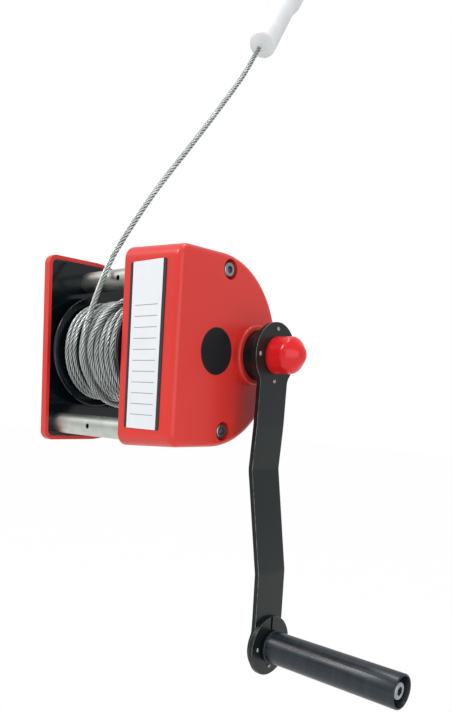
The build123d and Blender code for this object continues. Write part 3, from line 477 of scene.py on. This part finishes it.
# Pieces
def finish_piece(bm, name, slot, body, replaced=(), sharp=35.0):
    """Turns a bmesh into a piece with its finish, riding on its body."""
    bmesh.ops.recalc_face_normals(bm, faces=bm.faces)
    mesh = bpy.data.meshes.new(name)
    bm.to_mesh(mesh)
    bm.free()
    for polygon in mesh.polygons:
        polygon.use_smooth = True
    mesh.set_sharp_from_angle(angle=radians(sharp))
    mesh.materials.append(finishes[slot])
    piece = bpy.data.objects.new(name, mesh)
    bpy.context.scene.collection.objects.link(piece)
    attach(piece, body)
    if replaced:
        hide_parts(*replaced)
    return piece


def lathe(profile, origin, direction, across, steps=96, closed=True):
    """A bmesh turned about a line from origin along direction; profile holds (distance, radius)."""
    bm = bmesh.new()
    corners = [bm.verts.new(origin + direction * distance + across * radius)
               for distance, radius in profile]
    ends = corners[1:] + corners[:1] if closed else corners[1:]
    edges = [bm.edges.new(pair) for pair in zip(corners, ends)]
    bmesh.ops.spin(bm, geom=corners + edges, cent=origin, axis=direction, angle=tau, steps=steps,
                   use_merge=True, use_duplicate=False)
    bmesh.ops.remove_doubles(bm, verts=bm.verts, dist=1e-6)
    return bm


def soften(bm, width, segments):
    """Bevels every sharp edge, and marks the faces that this makes."""
    sharp_angle = radians(30)
    mark = bm.faces.layers.float.new("edge")
    sharp = [edge for edge in bm.edges
             if len(edge.link_faces) == 2 and edge.calc_face_angle() > sharp_angle]
    made = bmesh.ops.bevel(bm, geom=sharp, offset=width, offset_type="OFFSET", affect="EDGES",
                           segments=segments, profile=0.5, material=-1, clamp_overlap=True)
    for face in made["faces"]:
        face[mark] = 1.0


def eased(node, width, segments):
    """A merged copy of a CAD node whose sharp edges are broken, as paint or a file leaves them."""
    bm = bmesh.new()
    bm.from_mesh(frame["nodes"][node].data)
    bmesh.ops.remove_doubles(bm, verts=bm.verts, dist=1e-6)
    bmesh.ops.dissolve_limit(bm, angle_limit=radians(0.4), verts=bm.verts, edges=bm.edges)
    soften(bm, width, segments)
    piece = finish_piece(bm, node + "_eased", slot_of[node], body_of[node], [node])
    weighted = piece.modifiers.new("even_faces", "WEIGHTED_NORMAL")
    weighted.keep_sharp = True


def eased_nodes():
    for node in ("crank_arm", "crank_hub", "crank_foot_flange", "far_drum_flange", "near_drum_flange"):
        eased(node, width=0.0010, segments=3)
    for node in ("far_side_plate", "gear_side_plate", "far_cover"):
        eased(node, width=0.0004, segments=2)


def smooth_line(points, resolution):
    """Points read from a smooth curve that the given points steer."""
    curve = bpy.data.curves.new("line", "CURVE")
    curve.dimensions = "3D"
    spline = curve.splines.new("NURBS")
    spline.points.add(len(points) - 1)
    for point, place in zip(spline.points, points):
        point.co = (*place, 1.0)
    spline.order_u = 3
    spline.use_endpoint_u = True
    spline.resolution_u = resolution
    holder = bpy.data.objects.new("line", curve)
    mesh = bpy.data.meshes.new_from_object(holder)
    line = [vertex.co.copy() for vertex in mesh.vertices]
    bpy.data.objects.remove(holder)
    bpy.data.meshes.remove(mesh)
    return line


# Laid rope: a six-lobed section that turns once in every lay length
def strand_outline():
    """(turn as a share of a strand, distance from the rope's middle) of one strand's outer face."""
    strand = rope_diameter / 6
    outline = []
    for degrees in (-30, -22, -11, 0, 11, 22):
        off = radians(degrees)
        reach = 2 * cos(off) + sqrt(max(0.0, 1 - 4 * sin(off) ** 2))
        outline.append(((degrees + 30) / 60, reach * strand))
    return outline


def laid_rope(path, first_side):
    """A bmesh of rope along points; first_side is where the section's turning starts."""
    outline = strand_outline()
    rows = len(outline) * strand_count
    columns = len(path) - 1
    bm = bmesh.new()
    lay = bm.loops.layers.uv.new("lay")
    bmesh.ops.create_grid(bm, x_segments=columns, y_segments=rows, size=1.0)
    spots = {}
    for vertex in bm.verts:
        column = round((vertex.co.x + 1) / 2 * columns)
        spots[vertex.index] = (column, round((vertex.co.y + 1) / 2 * rows))
    bm.verts.ensure_lookup_table()
    lengths = [0.0]
    for before, after in zip(path, path[1:]):
        lengths.append(lengths[-1] + (after - before).length)
    for face in bm.faces:
        for loop in face.loops:
            column, row = spots[loop.vert.index]
            strand, step = divmod(row, len(outline))
            loop[lay].uv = (lengths[column], (strand + outline[step][0]) / strand_count)
    sides = []
    side = first_side
    for index in range(len(path)):
        ahead = (path[min(index + 1, columns)] - path[max(index - 1, 0)]).normalized()
        side = (side - ahead * side.dot(ahead)).normalized()
        sides.append((side.copy(), ahead.cross(side)))
    for vertex in bm.verts:
        column, row = spots[vertex.index]
        strand, step = divmod(row, len(outline))
        share, reach = outline[step]
        turn = tau * ((strand + share) / strand_count + lengths[column] / rope_lay)
        side, other = sides[column]
        vertex.co = path[column] + (side * cos(turn) + other * sin(turn)) * reach
    bmesh.ops.remove_doubles(bm, verts=bm.verts, dist=1e-7)
    open_edges = [edge for edge in bm.edges if edge.is_boundary]
    bmesh.ops.holes_fill(bm, edges=open_edges, sides=0)
    return bm


def outwards(point):
    """From the drum's axis to a point, square to the axis."""
    return (point - drum_place) * Vector((0, 1, 1))


def on_drum(across, angle, radius):
    """A place on the drum; the angle is 0 at the front and grows up the front and over the top."""
    return drum_place + Vector((across, -radius * cos(angle), radius * sin(angle)))


def smooth_step(share):
    share = min(1.0, max(0.0, share))
    return share * share * (3 - 2 * share)


def layer_path(start, end, turns, radius, first_angle, waviness):
    """Turns side by side, as loosely laid as a hand guides them."""
    pattern = start * 100     # so that each set of wraps sways in its own way
    sway_pace, lift_pace = 0.9, 0.7
    lift_share = 0.1          # of the sway along the drum
    points = []
    for index in range(round(turns * tau / wrap_step) + 1):
        angle = index * wrap_step
        share = angle / (turns * tau)
        sway = noise.noise(Vector((angle * sway_pace, pattern, 0.0))) * waviness
        lift = noise.noise(Vector((angle * lift_pace, pattern, 5.0))) * waviness * lift_share
        points.append(on_drum(start + (end - start) * share + sway, first_angle + angle, radius + lift))
    return points


def leaving_path():
    """The last wrap: from behind, on top of the layer, to the free rope's start and in its direction."""
    length = radians(205)
    settling = 0.012          # of rope, in which the wrap's slant dies out away from the free rope
    last = rope_route[0] - drum_place
    last_radius = Vector((last.y, last.z)).length
    last_angle = acos(-last.y / last_radius)
    ahead = (rope_route[1] - rope_route[0]).normalized()
    points = []
    for index in range(round(length / wrap_step) + 1):
        back = length - index * wrap_step
        across = last.x - ahead.x * settling * (1 - exp(-back * last_radius / settling))
        points.append(on_drum(across, last_angle - back, last_radius))
    return points


def crossing_path():
    """A wrap askew over its neighbours, from the middle at the front to the gear side at the top."""
    first, last = radians(-70), radians(190)
    slide_start, slide_turn = radians(-25), radians(150)
    climb_start, climb_turn = radians(-30), radians(45)
    drop_end, drop_turn = radians(170), radians(40)
    start_across = -0.1213    # along the drum, from the gear case
    slide = 0.0385            # towards the gear case
    points = []
    for index in range(round((last - first) / wrap_step) + 1):
        angle = first + index * wrap_step
        slid = smooth_step((angle - slide_start) / slide_turn)
        climbed = smooth_step((angle - climb_start) / climb_turn)
        risen = climbed * smooth_step((drop_end - angle) / drop_turn)
        radius = layer_radius + (over_radius - layer_radius) * risen
        points.append(on_drum(start_across + slide * slid, angle, radius))
    return points


def rope_on_drum():
    paths = {
        "rope_wraps_far": layer_path(
            start=-0.1650, end=-0.1470, turns=2.6, radius=layer_radius - far_layer_drop,
            first_angle=radians(200), waviness=0.0022),
        "rope_wraps_middle": layer_path(
            start=-0.1400, end=-0.0795, turns=7.8, radius=layer_radius,
            first_angle=radians(-150), waviness=0.0024),
        "rope_crossing_wrap": crossing_path(),
    }
    for name, path in paths.items():
        finish_piece(laid_rope(path, outwards(path[0])), name, "wire_rope", "drum")


def rope_last_wrap():
    """Stays with the free rope, so that the two never part when the drum is shown turned."""
    path = leaving_path()
    finish_piece(laid_rope(path, outwards(path[0])), "rope_last_wrap", "wire_rope", "frame")


def rope_bed():
    """The layers under the outer one, with a rounded groove for each turn."""
    groove_dip = 0.0015
    shoulder_dip = 0.0004
    far, near = (corner.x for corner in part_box("wound_rope"))
    turns = round((near - far) / rope_diameter)
    pitch = (near - far) / turns
    profile = [(0.0, bed_bore), (0.0, bed_radius - groove_dip)]
    for turn in range(turns):
        for share, dip in ((0.2, shoulder_dip), (0.5, 0.0), (0.8, shoulder_dip)):
            profile.append(((turn + share) * pitch, bed_radius - dip))
        profile.append(((turn + 1) * pitch, bed_radius - groove_dip))
    profile.append((near - far, bed_bore))
    origin = Vector((far, drum_place.y, drum_place.z))
    bm = lathe(profile, origin, axle_way, up, steps=120)
    lay = bm.loops.layers.uv.new("lay")
    for face in bm.faces:
        for loop in face.loops:
            offset = loop.vert.co - origin
            from_axis = max(1e-6, Vector((offset.y, offset.z)).length)
            turned_by = acos(max(-1.0, min(1.0, offset.z / from_axis)))
            loop[lay].uv = (turned_by * bed_radius, offset.x / pitch / strand_count)
    finish_piece(bm, "rope_bed", "wire_rope", "drum", ["wound_rope"])


def rope_tail_piece():
    """The rope's inner end, under the clamp on the far flange."""
    steps = 30
    pressed = 0.96            # the clamp squeezes the tail
    low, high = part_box("rope_tail")
    middle = (low + high) / 2
    path = [Vector((middle.x, low.y + (high.y - low.y) * index / steps, middle.z))
            for index in range(steps + 1)]
    bm = laid_rope(path, up)
    bmesh.ops.scale(bm, verts=bm.verts, vec=Vector((pressed, 1, pressed)),
                    space=Matrix.Translation(-middle))
    finish_piece(bm, "rope_tail_laid", "wire_rope", "drum", ["rope_tail"])


def free_rope_piece(path):
    return finish_piece(laid_rope(path, outwards(path[0])), "free_rope_laid", "wire_rope", "frame",
                        ["free_rope"])


def rope_end_sleeve():
    """Soft sleeve: a closed end with the rope through it, and a flared open end."""
    flare_steps = 12
    lip = 0.0008
    inner_radius = sleeve_radius - sleeve_wall
    flare_start = sleeve_length - sleeve_mouth_length
    wide = sleeve_radius + sleeve_flare
    profile = [(0.0, 0.0), (0.0, sleeve_radius - 0.0015), (0.0006, sleeve_radius - 0.0005),
               (0.0018, sleeve_radius)]
    flare = []
    for index in range(flare_steps + 1):
        share = index / flare_steps
        flare.append((flare_start + sleeve_taper * share, sleeve_flare * smooth_step(share)))
    profile += [(place, sleeve_radius + widening) for place, widening in flare]
    profile += [(sleeve_length - lip, wide), (sleeve_length, wide - lip),
                (sleeve_length, wide - sleeve_wall)]
    profile += [(place, inner_radius + widening) for place, widening in reversed(flare)]
    profile += [(sleeve_end_wall, inner_radius), (sleeve_end_wall, 0.0)]
    bm = lathe(profile, sleeve_mouth + sleeve_shift, rope_way, sideways, closed=False)
    bmesh.ops.remove_doubles(bm, verts=bm.verts, dist=1e-5)
    return finish_piece(bm, "rope_end_sleeve_soft", "white_sleeve", "frame", ["rope_end_sleeve"],
                        sharp=50.0)


def rope_eye_piece():
    """The rope's eye: out of the ferrule, round the thimble and back into the ferrule."""
    straight_steps = 12
    round_steps = 46
    eye_radius = thimble_radius + rope_diameter / 2 + 0.0015
    foot = rope_diameter / 2 + 0.0001
    lean = acos((eye_radius - foot) / thimble_throat)
    touch = Vector((thimble_throat - eye_radius * cos(lean), eye_radius * sin(lean)))
    path = []
    for index in range(straight_steps):
        path.append(Vector((0, foot)).lerp(touch, index / straight_steps))
    for index in range(round_steps + 1):
        turn = (pi - lean) * (1 - 2 * index / round_steps)
        path.append(Vector((thimble_throat + eye_radius * cos(turn), eye_radius * sin(turn))))
    for index in range(1, straight_steps + 1):
        path.append(Vector((touch.x, -touch.y)).lerp(Vector((0, -foot)), index / straight_steps))
    origin = sleeve_mouth + rope_way * sleeve_length
    across = sideways.cross(rope_way)
    bm = laid_rope([origin + rope_way * point.x + across * point.y for point in path], sideways)
    return finish_piece(bm, "rope_eye_laid", "wire_rope", "frame", ["rope_eye"])


# Crank cap, grip and rivets
def crank_cap():
    """Soft vinyl cap: straight skirt with a small bead, and a blunt cone for its end."""
    low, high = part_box("crank_nut_cap")
    radius = (high.z - low.z) / 2
    length = high.x - low.x
    inner = radius - cap_wall
    side = radius - cap_bead_height
    profile = [(0.0, inner), (0.0, radius - 0.0005), (0.0005, radius), (cap_bead_length, radius),
               (cap_bead_length + 0.0008, side)]
    cone = [(cap_shoulder, side, 0.0), (0.0188, side, 0.0), (0.0226, 0.0146, 0.0),
            (0.0276, 0.0088, 0.0), (length, 0.0052, 0.0), (length, 0.0, 0.0)]
    profile += [(point.x, point.y) for point in smooth_line(cone, 16)]
    profile += [(length - cap_wall, 0.0), (cap_shoulder, inner)]
    origin = Vector((low.x, crank_place.y, crank_place.z))
    bm = lathe(profile, origin, axle_way, up, steps=112)
    finish_piece(bm, "crank_cap_vinyl", "red_cap", "crank", ["crank_nut_cap"], sharp=60.0)


def grip_tube():
    """Grip: groove by the inner end, long straight body, rolled edge round the hollow end."""
    low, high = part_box("grip_sleeve")
    radius = (high.z - low.z) / 2
    length = high.x - low.x
    hollow = radius - grip_end_wall
    groove = grip_groove_place
    groove_floor = radius - grip_groove_depth
    rolled = radius - 0.0003
    profile = [(0.0, grip_bore), (0.0, radius - 0.0012), (0.0004, radius - 0.0004), (0.0012, radius)]
    profile += [(groove - 0.0003, radius), (groove, rolled), (groove + 0.0003, groove_floor)]
    profile += [(groove + 0.0007, groove_floor), (groove + 0.0010, rolled), (groove + 0.0013, radius)]
    profile += [(length * share, radius) for share in (0.25, 0.5, 0.75)]
    profile += [(length - 0.0012, radius), (length - 0.0004, radius - 0.0004), (length, radius - 0.0011)]
    profile += [(length - 0.0003, hollow + 0.0003), (length - 0.0008, hollow)]
    profile += [(length - grip_end_depth, hollow), (length - grip_end_depth, grip_bore)]
    origin = Vector((low.x, grip_place.y, grip_place.z))
    bm = lathe(profile, origin, axle_way, up, steps=112)
    finish_piece(bm, "grip_tube_moulded", "black_grip", "grip", ["grip_sleeve"], sharp=40.0)


def rivets(name, node, centre, face, circle, turns, shank_length):
    """Low domed rivets on a circle, their shanks through the stack behind the face."""
    joined = bmesh.new()
    profile = [(-shank_length, 0.0), (-shank_length, rivet_shank), (0.0, rivet_shank),
               (0.0, rivet_reach), (0.0004, rivet_reach), (0.0008, rivet_reach * 0.86),
               (0.0012, rivet_reach * 0.5), (0.00128, 0.0)]
    for turn in turns:
        angle = radians(turn)
        origin = Vector((face, centre.y + circle * cos(angle), centre.z + circle * sin(angle)))
        bm = lathe(profile, origin, axle_way, up, steps=28, closed=False)
        mesh = bpy.data.meshes.new("rivet")
        bm.to_mesh(mesh)
        bm.free()
        joined.from_mesh(mesh)
        bpy.data.meshes.remove(mesh)
    finish_piece(joined, name, "rivet_bright", "crank", [node], sharp=50.0)


def crank_rivets():
    rivets("head_rivets", "crank_head_rivets", crank_place, arm_face, circle=0.024,
           turns=(0, 90, 180, 270), shank_length=0.0086)
    rivets("foot_rivets", "crank_foot_rivets", grip_place, disc_face, circle=0.0205,
           turns=(0, 180, 270), shank_length=0.0091)


# Stage
def white_to_eye(tree, shown, shader_socket):
    """Mixes a plain white in for what the camera, gloss and glass see."""
    path = add(tree, "ShaderNodeLightPath")
    seen = calculate(tree, "MAXIMUM", path.outputs["Is Camera Ray"], path.outputs["Is Glossy Ray"])
    seen = calculate(tree, "MAXIMUM", seen, path.outputs["Is Transmission Ray"])
    plain = add(tree, "ShaderNodeEmission", Color=white, Strength=1.0)
    mix = tree.nodes.new("ShaderNodeMixShader")
    connect(tree, mix.inputs[0], calculate(tree, "MULTIPLY", seen, shown))
    tree.links.new(shader_socket, mix.inputs[1])
    tree.links.new(plain.outputs[0], mix.inputs[2])
    return mix.outputs[0]


def make_floor():
    bm = bmesh.new()
    bmesh.ops.create_grid(bm, x_segments=8, y_segments=8, size=floor_half_width)
    bmesh.ops.translate(bm, verts=bm.verts, vec=Vector((0, 0, cad_box[0].z - floor_drop)))
    mesh = bpy.data.meshes.new("floor")
    bm.to_mesh(mesh)
    bm.free()
    tree, inputs = new_finish("floor_white", roughness=0.9)
    connect(tree, inputs["Base Color"], floor_grey)
    surface = white_to_eye(tree, floor_shown_white, tree.nodes["Principled BSDF"].outputs[0])
    tree.links.new(surface, tree.nodes["Material Output"].inputs["Surface"])
    mesh.materials.append(finishes["floor_white"])
    floor = bpy.data.objects.new("floor", mesh)
    bpy.context.scene.collection.objects.link(floor)


def make_world():
    """Even daylight that lights the winch, and a white background that only the eye and gloss see."""
    world = bpy.data.worlds.new("studio")
    bpy.context.scene.world = world
    world.use_nodes = True
    tree = world.node_tree
    back = tree.nodes["Background"]
    connect(tree, back.inputs["Color"], sky_tint)
    connect(tree, back.inputs["Strength"], sky_strength)
    path = add(tree, "ShaderNodeLightPath")
    seen = calculate(tree, "MAXIMUM", path.outputs["Is Camera Ray"], path.outputs["Is Transmission Ray"])
    gloss = calculate(tree, "MULTIPLY", path.outputs["Is Glossy Ray"], sky_in_gloss)
    plain = add(tree, "ShaderNodeBackground", Color=white, Strength=1.0)
    mix = tree.nodes.new("ShaderNodeMixShader")
    connect(tree, mix.inputs[0], calculate(tree, "MAXIMUM", seen, gloss))
    tree.links.new(back.outputs[0], mix.inputs[1])
    tree.links.new(plain.outputs[0], mix.inputs[2])
    tree.links.new(mix.outputs[0], tree.nodes["World Output"].inputs["Surface"])


def softbox(name, place, size, power):
    """A rectangular lamp that faces the winch's middle."""
    lamp = bpy.data.lights.new(name, "AREA")
    lamp.shape = "RECTANGLE"
    lamp.size, lamp.size_y = size
    lamp.energy = power
    holder = bpy.data.objects.new(name, lamp)
    away = Vector(place) - lit_middle
    turn = away.to_track_quat("Z", "Y").to_matrix().to_4x4()
    holder.matrix_world = Matrix.Translation(place) @ turn
    bpy.context.scene.collection.objects.link(holder)


def make_lights():
    softbox("overhead", place=(0.2, 0.1, 1.6), size=(1.2, 0.4), power=9.0)
    softbox("front_left", place=(-0.55, -1.25, 1.25), size=(0.8, 0.5), power=19.0)
    softbox("right", place=(1.8, -0.7, 0.1), size=(1.6, 1.8), power=15.0)


make_camera()
make_finishes()
dress_frame()
make_world()
make_lights()
make_floor()
rope_bed()
rope_on_drum()
rope_last_wrap()
rope_tail_piece()
free_path = smooth_line(rope_route, 64)
free_rope = free_rope_piece(free_path)
sleeve = rope_end_sleeve()
eye = rope_eye_piece()
crank_cap()
crank_rivets()
grip_tube()
eased_nodes()

bpy.context.scene.view_settings.view_transform = "Standard"
